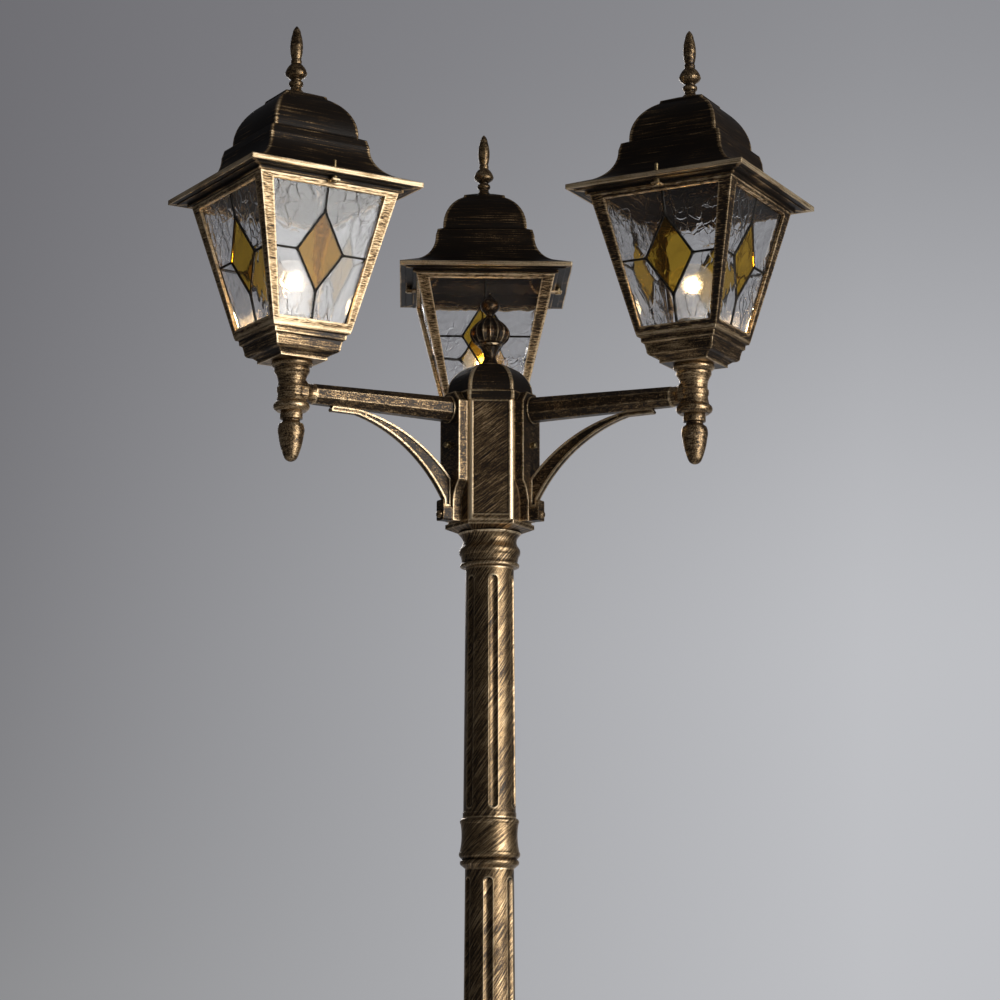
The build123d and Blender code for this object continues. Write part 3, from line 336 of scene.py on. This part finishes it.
# One cage finish in three copies whose gold differs only with how the light falls: more gold on the left cage is
# painted light, less on the right cage is painted shade.
bronze_cage_lit_and_shaded = {
    arm: bronze(f"bronze_cage_lit_and_shaded_{arm}", (140, 140, 1250), cover=cover, grain=0.2, edges=0.55, rough=0.47)
    for arm, cover in (("left", 0.75), ("right", 0.40), ("rear", 0.66))
}
bronze_tray = bronze("bronze_tray", (40, 40, 900), cover=0.52, grain=0.45, edges=0.6)
bronze_turned = bronze("bronze_turned", (90, 90, 800), cover=0.70, grain=0.5, edges=0.3, rough=0.28)
bronze_urn = bronze("bronze_urn", (200, 200, 160), cover=0.30, grain=0.5, edges=1.0, reach=0.0016, rough=0.28)
bronze_smooth = bronze("bronze_smooth", (160, 160, 300), cover=0.66, grain=0.6, edges=0.1, rough=0.28)
bronze_arm = bronze("bronze_arm", (150, 150, 700), cover=0.40, grain=0.6, edges=0.75)
# The arm's bronze with less gold and weaker gold edges: a darker copy that is painted shade on the brace clips.
bronze_arm_shaded = bronze("bronze_arm_shaded", (150, 150, 700), cover=0.3, grain=0.6, edges=0.3)
bronze_cap = bronze("bronze_cap", (30, 30, 800), cover=0.14, grain=0.4, edges=0.4, soft=0.002, ribs=cap_ribs_and_band_highlight)
bronze_hub = bronze(
    "bronze_hub", climbing(0.036, 38, 1300, 40), cover=0.53, grain=0.3, edges=0.5, soft=0.0012,
    ribs=hexagon_ribs(0.0027), patches=0.12,
)
bronze_coupling = bronze(
    "bronze_coupling", climbing(0.027, 40, 1200, 34), cover=0.72, grain=0.35, edges=0.4, rough=0.28, patches=0.12,
)
bronze_pole = bronze(
    "bronze_pole", climbing(0.025, 54, 1200, 34), cover=0.60, grain=0.3, edges=0.6, rough=0.28, patches=0.12,
)


# ---------------------------------------------------------------- other materials
WAVES_PER_M = (30, 30, 18)
CELLS_PER_M = (88, 88, 62)
WAVE_H = 0.0016
CELL_H = 0.00062
CREASE_H = 0.00016


def rippled_glass(name, tint, haze, haze_tint, mirror_tint=(1.0, 1.0, 1.0)):
    """Hand-made sheet: slow waves, blistered cells with creases between them, and a faint haze.

    Shadow rays, and rays that a surface has scattered or mirrored, go straight through the pane. The rest are
    bent by it.
    """
    mat, g = new_material(name)
    warp = g.noise(g.coords(*WAVES_PER_M), detail=1.0, roughness=0.4, distortion=0.6)
    bend = g.noise(g.coords(60), detail=1.0)
    shaken = g.node("ShaderNodeVectorMath", operation="ADD")
    g.put(shaken.inputs[0], g.coords(*CELLS_PER_M))
    g.put(shaken.inputs[1], g.join(bend, g.math("MULTIPLY", bend, 1.7), g.math("MULTIPLY", bend, -1.3)))
    where = g.noise(g.coords(14), detail=1.0)
    bowl = g.math("POWER", g.cells(shaken.outputs[0], "F1"), 2.0)
    bowl = g.math("MULTIPLY", bowl, g.remap(where, 0.36, 0.6, 0.25, 1.0))
    crease = g.remap(g.cells(shaken.outputs[0], "DISTANCE_TO_EDGE"), 0.0, 0.06, 1.0, 0.0)
    crease = g.math("MULTIPLY", crease, g.remap(where, 0.50, 0.64))
    waves = g.bump(bowl, 1.0, CELL_H, g.bump(warp, 1.0, WAVE_H))
    glass = g.principled(
        Base_Color=(*tint, 1.0),
        Roughness=0.03,
        IOR=1.46,
        Transmission_Weight=1.0,
        Specular_Tint=(*mirror_tint, 1.0),
        Normal=g.bump(crease, 1.0, CREASE_H, waves),
    )
    dust_tint = g.mix(g.remap(bowl, 0.1, 0.6), haze_tint, tuple(0.7 * c for c in haze_tint))
    dust = g.plain("ShaderNodeBsdfDiffuse", dust_tint)
    veiled = g.blend(g.remap(where, 0.3, 0.7, haze * 0.8, haze * 1.2), glass, dust)
    path = g.node("ShaderNodeLightPath").outputs
    bounced = g.math("MAXIMUM", path["Is Diffuse Ray"], path["Is Glossy Ray"])
    bounced = g.math("SUBTRACT", bounced, path["Is Transmission Ray"], clamp=True)
    straight = g.math("MAXIMUM", path["Is Shadow Ray"], bounced)
    g.surface(g.blend(straight, veiled, g.plain("ShaderNodeBsdfTransparent", (*tint, 1.0))))
    return mat


def bulb_glass():
    """Thin frosted glass: most of the light goes straight through, so that the filament shows."""
    mat, g = new_material("bulb_glass")
    tone = g.noise(g.coords(90), detail=1.0)
    glass = g.principled(
        Base_Color=(1.0, 0.98, 0.95, 1.0),
        Roughness=g.remap(tone, 0.3, 0.7, 0.36, 0.44),
        IOR=1.3,
        Transmission_Weight=1.0,
    )
    straight = g.math("MAXIMUM", g.node("ShaderNodeLightPath").outputs["Is Shadow Ray"], 0.80)
    g.surface(g.blend(straight, glass, g.plain("ShaderNodeBsdfTransparent", (1.0, 1.0, 1.0, 1.0))))
    return mat


def flecked(name, flecks_per_m, dark, light, metallic, rough, relief, soft):
    """A material whose tone, roughness and surface vary in fine flecks.

    rough is the roughness of the dark flecks and of the light ones, relief the bump's strength and distance
    and soft the radius to which edges are rounded.
    """
    mat, g = new_material(name)
    tone = g.noise(g.coords(flecks_per_m), detail=3.0)
    g.surface(
        g.principled(
            Base_Color=g.mix(g.remap(tone, 0.35, 0.7), dark, light),
            Metallic=metallic,
            Roughness=g.remap(tone, 0.3, 0.7, *rough),
            Normal=g.bump(tone, *relief, g.round_edges(soft)),
        )
    )
    return mat


def glowing(name, color, strength):
    mat, g = new_material(name)
    tone = g.noise(g.coords(500), detail=2.0)
    g.surface(
        g.principled(
            Base_Color=g.mix(tone, (0.8, 0.6, 0.35), (1.0, 0.9, 0.7)),
            Roughness=0.5,
            Emission_Color=(*color, 1.0),
            Emission_Strength=strength,
        )
    )
    return mat


clear_glass = rippled_glass("clear_rippled_glass", (0.94, 0.94, 0.94), 0.008, (0.8, 0.8, 0.82))
amber_glass = rippled_glass(
    "amber_rippled_glass", (0.64, 0.40, 0.045), 0.05, (0.50, 0.33, 0.10), mirror_tint=(0.86, 0.66, 0.48),
)
lead = flecked(
    "lead_came", 260, (0.008, 0.007, 0.006), (0.045, 0.04, 0.035), metallic=0.7, rough=(0.42, 0.62),
    relief=(0.3, 0.0004), soft=0.0004,
)
screws = flecked(
    "screw_metal", 700, (0.2, 0.14, 0.07), (0.55, 0.42, 0.22), metallic=0.95, rough=(0.28, 0.45),
    relief=(0.2, 0.0003), soft=0.0004,
)
holder_white = flecked(
    "lampholder_ceramic", 300, (0.62, 0.58, 0.5), (0.74, 0.7, 0.62), metallic=0.0, rough=(0.3, 0.45),
    relief=(0.1, 0.0003), soft=0.0006,
)
bulb_clear = bulb_glass()
filament_glow = glowing("filament_glow", (1.0, 0.72, 0.38), 30.0)


# ---------------------------------------------------------------- which node wears which material
# Keys are the nodes' names without arm or number. The roofs and cages have a material for each arm; the cages'
# differ only in painted light and shade.
PAINTS = {
    "base": bronze_turned,
    "pole_tube": bronze_pole,
    "pole_coupling": bronze_coupling,
    "neck": bronze_pole,
    "hub_body": bronze_hub,
    "hub_cap": bronze_cap,
    "hub_finial": bronze_urn,
    "arm": bronze_arm,
    "arm_screws": screws,
    "brace": bronze_arm,
    "brace_clips": bronze_arm_shaded,
    "clip_screws": bronze_smooth,
    "stem": bronze_turned,
    "drop_finial": bronze_smooth,
    "tray": bronze_tray,
    "cage": bronze_cage_lit_and_shaded,
    "glass_clear": clear_glass,
    "glass_amber": amber_glass,
    "came": lead,
    "lampholder": holder_white,
    "bulb": bulb_clear,
    "bulb_caps": screws,
    "roof": bronze_roof,
    "roof_finial": bronze_smooth,
    "roof_screws": screws,
}
for name, node in NODES.items():
    kind, _, last = name.rpartition("_")
    paint = PAINTS[kind if last in ARMS or last.isdigit() else name]
    node.data.materials.clear()
    node.data.materials.append(paint[last] if isinstance(paint, dict) else paint)


# ---------------------------------------------------------------- mesh helpers
def bridge(bm, rings):
    """Faces between rings that follow each other."""
    for low, high in zip(rings, rings[1:]):
        n = len(low)
        for k in range(n):
            bm.faces.new((low[k], low[(k + 1) % n], high[(k + 1) % n], high[k]))


def mesh_object(name, bm, material, smooth_up_to):
    """An object from a bmesh. Faces with more corners than smooth_up_to are shaded flat."""
    bmesh.ops.recalc_face_normals(bm, faces=bm.faces)
    mesh = bpy.data.meshes.new(name)
    bm.to_mesh(mesh)
    bm.free()
    mesh.materials.append(material)
    for poly in mesh.polygons:
        poly.use_smooth = len(poly.vertices) <= smooth_up_to
    obj = bpy.data.objects.new(name, mesh)
    bpy.context.collection.objects.link(obj)
    return obj


def tube_mesh(name, points, radius, material, sides=8):
    """Round wire through points."""
    bm = bmesh.new()
    rings = []
    for i, point in enumerate(points):
        ahead = points[min(i + 1, len(points) - 1)]
        behind = points[max(i - 1, 0)]
        along = (ahead - behind).normalized()
        side = along.orthogonal().normalized()
        other = along.cross(side)
        ring = []
        for k in range(sides):
            a = 2 * pi * k / sides
            ring.append(bm.verts.new(point + (side * cos(a) + other * sin(a)) * radius))
        rings.append(ring)
    # Each ring starts beside the start of the one before and runs round the same way, so the wire isn't twisted.
    for low, high in zip(rings, rings[1:]):
        shift = min(range(sides), key=lambda s: (low[0].co - high[s].co).length)
        high[:] = high[shift:] + high[:shift]
        if (low[1].co - high[1].co).length > (low[1].co - high[-1].co).length:
            high[1:] = high[:0:-1]
    bridge(bm, rings)
    bm.faces.new(rings[0])
    bm.faces.new(rings[-1])
    return mesh_object(name, bm, material, smooth_up_to=sides)


# ---------------------------------------------------------------- filament inside each bulb
FILAMENT_Z = ARM_Z + 0.106
COIL_R = 0.0058
COIL_H = 0.011
COIL_TURNS = 3
COIL_STEPS = 16 * COIL_TURNS
COIL_WIRE_R = 0.0017
LEAD_WIRE_R = 0.0005
LEAD_WIRE_SIDES = 6
# A lead wire's foot and knee: how far out from the bulb's axis, and how high above the coil's middle.
LEAD_FOOT = (0.0024, -0.030)
LEAD_KNEE = (0.0072, -0.012)

for arm, azimuth in ARMS.items():
    centre = lantern_axis(azimuth, FILAMENT_Z)
    coil = []
    for i in range(COIL_STEPS + 1):
        t = i / COIL_STEPS
        angle = 2 * pi * COIL_TURNS * t
        reach = COIL_R * sin(pi * (0.2 + 0.6 * t))
        coil.append(centre + Vector((reach * cos(angle), reach * sin(angle), COIL_H * (t - 0.5))))
    glow = tube_mesh(f"filament_{arm}", coil, COIL_WIRE_R, filament_glow)
    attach(glow, "post")
    for side, (end, sign) in enumerate(((coil[0], 1), (coil[-1], -1))):
        foot, knee = (centre + Vector((sign * out, 0.0, z)) for out, z in (LEAD_FOOT, LEAD_KNEE))
        wire = tube_mesh(f"filament_lead_{arm}_{side}", [foot, knee, end], LEAD_WIRE_R, lead, LEAD_WIRE_SIDES)
        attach(wire, "post")


# ---------------------------------------------------------------- lead cames with soldered joints
CAGE_FOOT_HALF = 0.0412
CAGE_TOP_HALF = 0.0728
CAGE_H = 0.1315
CAGE_SLOPE = atan2(CAGE_TOP_HALF - CAGE_FOOT_HALF, CAGE_H)
GLASS_INSET = 0.0037
GLASS_T = 0.003
GLASS_FOOT_Z = 0.0026
GLASS_TOP_GAP = 0.0001
GLASS_SIDE_GAP = 0.0012
CAME_HALF_W = 0.00105
CAME_RISE = 0.00058
CAME_SIDES = 8
CAME_STEP = 0.004
CORE_HALF_W = 0.00055
CORE_HALF_D = 0.49 * GLASS_T
SOLDER_R = 0.0019
SOLDER_RISE = 1.02 * CAME_RISE
SOLDER_SIDES = 12
DIAMOND_HALF_W = 0.024
DIAMOND_MID = 0.069
DIAMOND = ((0, 0.1075), (DIAMOND_HALF_W, DIAMOND_MID), (0, 0.0325), (-DIAMOND_HALF_W, DIAMOND_MID))


def pane_ends():
    """Where the lead lines meet the pane's edges, from the top round."""
    foot = GLASS_FOOT_Z / cos(CAGE_SLOPE) + GLASS_T * sin(CAGE_SLOPE)
    top = (CAGE_H - GLASS_TOP_GAP) / cos(CAGE_SLOPE) - GLASS_T
    cage_half = CAGE_FOOT_HALF + (CAGE_TOP_HALF - CAGE_FOOT_HALF) * DIAMOND_MID * cos(CAGE_SLOPE) / CAGE_H
    reach = cage_half - (GLASS_INSET + GLASS_T / 2) - GLASS_T / 2 - GLASS_SIDE_GAP
    return ((0, top), (reach, DIAMOND_MID), (0, foot), (-reach, DIAMOND_MID))


def pane_place(cage_foot, azimuth):
    """From a pane's own x across, y up and z outward to the side of the cage that faces an azimuth."""
    a = radians(azimuth)
    across = Vector((-sin(a), cos(a), 0))
    outward = Vector((cos(a) * cos(CAGE_SLOPE), sin(a) * cos(CAGE_SLOPE), -sin(CAGE_SLOPE)))
    up = outward.cross(across)
    place = Matrix((across, up, outward)).transposed().to_4x4()
    inset = outward * (GLASS_INSET + GLASS_T / 2)
    place.translation = cage_foot + Vector((cos(a), sin(a), 0)) * CAGE_FOOT_HALF - inset
    return place


def lead_line(start, end):
    """A line's two ends in the pane, and the direction across it."""
    a, b = Vector((*start, 0.0)), Vector((*end, 0.0))
    along = (b - a).normalized()
    return a, b, Vector((-along.y, along.x, 0.0))


def bead(bm, place, start, end, side):
    """Half-round strip along one lead line, on one face of the glass. Its width wavers."""
    a, b, across = lead_line(start, end)
    out = Vector((0.0, 0.0, side))
    face = out * (GLASS_T / 2)
    steps = max(2, int((b - a).length / CAME_STEP))
    rings = []
    for i in range(steps + 1):
        centre = a.lerp(b, i / steps)
        swell = 1.0 + 0.05 * sin(9.0 * i + 5000.0 * start[0]) + 0.03 * cos(4.3 * i)
        ring = []
        for k in range(CAME_SIDES + 1):
            angle = pi * k / CAME_SIDES
            spot = centre + face + across * (CAME_HALF_W * swell * cos(angle)) + out * (CAME_RISE * sin(angle))
            ring.append(bm.verts.new(place @ spot))
        rings.append(ring)
    bridge(bm, rings)
    bm.faces.new(rings[0])
    bm.faces.new(rings[-1])


def solder(bm, place, at, side):
    """Low blob, not quite round, where lead lines meet."""
    rows = []
    for tilt in (0.0, radians(30), radians(60)):
        row = []
        for k in range(SOLDER_SIDES):
            angle = 2 * pi * k / SOLDER_SIDES
            reach = SOLDER_R * cos(tilt) * (1.0 + 0.08 * sin(3 * angle + 700 * at[1]))
            rise = GLASS_T / 2 + SOLDER_RISE * sin(tilt)
            spot = Vector((at[0] + reach * cos(angle), at[1] + reach * sin(angle), side * rise))
            row.append(bm.verts.new(place @ spot))
        rows.append(row)
    bridge(bm, rows)
    crown = bm.verts.new(place @ Vector((*at, side * (GLASS_T / 2 + SOLDER_RISE))))
    for k in range(SOLDER_SIDES):
        bm.faces.new((rows[-1][k], rows[-1][(k + 1) % SOLDER_SIDES], crown))
    bm.faces.new(rows[0])


def core(bm, place, start, end):
    """Web of the lead between two panes."""
    a, b, across = lead_line(start, end)
    squares = []
    for centre in (a, b):
        square = []
        for x, z in ((1, -1), (1, 1), (-1, 1), (-1, -1)):
            spot = centre + across * (x * CORE_HALF_W) + Vector((0, 0, z * CORE_HALF_D))
            square.append(bm.verts.new(place @ spot))
        squares.append(square)
    bridge(bm, squares)
    for square in squares:
        bm.faces.new(square)


LEAD_LINES = [(DIAMOND[k], DIAMOND[(k + 1) % 4]) for k in range(4)] + list(zip(DIAMOND, pane_ends()))
for arm, azimuth in ARMS.items():
    bm = bmesh.new()
    cage_foot = lantern_axis(azimuth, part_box(f"cage_{arm}")[0].z)
    for turn in (0, 90, 180, 270):
        place = pane_place(cage_foot, azimuth + turn)
        for start, end in LEAD_LINES:
            core(bm, place, start, end)
            for side in (1, -1):
                bead(bm, place, start, end, side)
        for at in DIAMOND:
            for side in (1, -1):
                solder(bm, place, at, side)
    obj = mesh_object(f"lead_lines_{arm}", bm, lead, smooth_up_to=4)
    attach(obj, "post")
    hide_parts(f"came_{arm}")


# ---------------------------------------------------------------- floor
FLOOR_W = 4.6
FLOOR_Z = -0.001


def floor():
    bpy.ops.mesh.primitive_plane_add(size=FLOOR_W, location=(0, 0, FLOOR_Z))
    plane = bpy.context.object
    plane.name = "studio_floor"
    mat, g = new_material("studio_floor")
    tone = g.noise(g.coords(4), detail=2.0)
    g.surface(
        g.principled(
            Base_Color=g.mix(tone, (0.70, 0.70, 0.71), (0.76, 0.76, 0.77)),
            Roughness=0.7,
        )
    )
    plane.data.materials.append(mat)


floor()


# ---------------------------------------------------------------- world
# The backdrop's tones, and those of the room round it: for mirrored rays that miss the backdrop, and for
# diffuse rays.
LEFT_HIGH = (0.140, 0.138, 0.150)
LEFT_LOW = (0.228, 0.228, 0.235)
RIGHT_HIGH = (0.268, 0.270, 0.288)
RIGHT_LOW = (0.520, 0.527, 0.552)
ROOM_MIRRORED = (0.05, 0.05, 0.053)
ROOM_DIFFUSE = (0.10, 0.10, 0.104)
# Where the tones run, as x, y or z of a ray's direction: from left to right, from the top of the left and of the
# right side to their foot, and from the room to the backdrop in mirrors.
ACROSS = (-0.20, 0.17)
LEFT_DOWN = (0.36, 0.0)
RIGHT_DOWN = (0.38, 0.11)
MIRRORED_FROM = (0.70, 0.97)


def studio_world():
    """A backdrop that is darker to the left and above, in a dim room."""
    world = bpy.data.worlds.new("studio")
    bpy.context.scene.world = world
    world.use_nodes = True
    world.node_tree.nodes.clear()
    w = Graph(world.node_tree)
    x, y, z = w.split(w.node("ShaderNodeTexCoord").outputs["Generated"])
    left = w.mix(w.math("POWER", w.remap(z, *LEFT_DOWN, smooth=False), 3.0), LEFT_HIGH, LEFT_LOW)
    right = w.mix(w.remap(z, *RIGHT_DOWN), RIGHT_HIGH, RIGHT_LOW)
    backdrop = w.mix(w.remap(x, *ACROSS, smooth=False), left, right)
    path = w.node("ShaderNodeLightPath").outputs
    mirrored = w.mix(w.remap(y, *MIRRORED_FROM), ROOM_MIRRORED, backdrop)
    color = w.mix(path["Is Glossy Ray"], ROOM_DIFFUSE, mirrored)
    seen = w.math("MAXIMUM", path["Is Camera Ray"], path["Is Transmission Ray"])
    background = w.node("ShaderNodeBackground")
    w.put(background.inputs["Color"], w.mix(seen, color, backdrop))
    background.inputs["Strength"].default_value = 1.0
    out = w.node("ShaderNodeOutputWorld")
    w.put(out.inputs["Surface"], background.outputs[0])


studio_world()


# ---------------------------------------------------------------- lamps
AIM = (0, 0, ARM_Z + 0.05)
BULB_POWER = 0.06
BULB_COLOR = (1.0, 0.70, 0.38)
BULB_SOURCE_R = 0.009


def add_light(name, kind, power, color):
    """A light that can't be seen, straight or through glass."""
    light = bpy.data.lights.new(name, kind)
    light.energy = power
    light.color = color
    obj = bpy.data.objects.new(name, light)
    bpy.context.collection.objects.link(obj)
    obj.visible_camera = False
    obj.visible_transmission = False
    return obj


def softbox(name, azimuth, distance, height, size, power, color):
    obj = add_light(name, "AREA", power, color)
    obj.data.shape = "RECTANGLE"
    obj.data.size, obj.data.size_y = size
    a = radians(azimuth)
    obj.location = (distance * cos(a), distance * sin(a), height)
    obj.rotation_euler = (Vector(AIM) - obj.location).to_track_quat("-Z", "Y").to_euler()


softbox("key", 320, 2.3, ARM_Z - 0.05, (1.4, 2.0), 48.0, (1.0, 0.99, 0.97))
softbox("back", 98, 3.0, ARM_Z + 0.9, (1.2, 1.2), 20.0, (1.0, 1.0, 1.0))
for arm, azimuth in ARMS.items():
    lamp = add_light(f"bulb_light_{arm}", "POINT", BULB_POWER, BULB_COLOR)
    lamp.data.shadow_soft_size = BULB_SOURCE_R
    lamp.location = lantern_axis(azimuth, FILAMENT_Z)


# ---------------------------------------------------------------- camera, fitted to the photograph
CAM_AT = Vector((-0.01295, -2.5747, ARM_Z - 0.55502))
CAM_TURN = Matrix.Rotation(radians(-1.456), 3, "Z")
CAM_YAW = radians(-0.510)
CAM_PITCH = radians(10.394)
SENSOR_W = 36.0
FOCAL_WIDTHS = 2.680

cam_data = bpy.data.cameras.new("camera")
cam = bpy.data.objects.new("camera", cam_data)
bpy.context.collection.objects.link(cam)
cam_data.sensor_fit = "HORIZONTAL"
cam_data.sensor_width = SENSOR_W
cam_data.lens = SENSOR_W * FOCAL_WIDTHS
cam_data.clip_end = 50.0
cam.location = CAM_TURN @ CAM_AT
look = CAM_TURN @ Vector((-sin(CAM_YAW) * cos(CAM_PITCH), cos(CAM_YAW) * cos(CAM_PITCH), sin(CAM_PITCH)))
cam.rotation_euler = look.to_track_quat("-Z", "Y").to_euler()
bpy.context.scene.camera = cam
bpy.context.scene.view_settings.view_transform = "Standard"
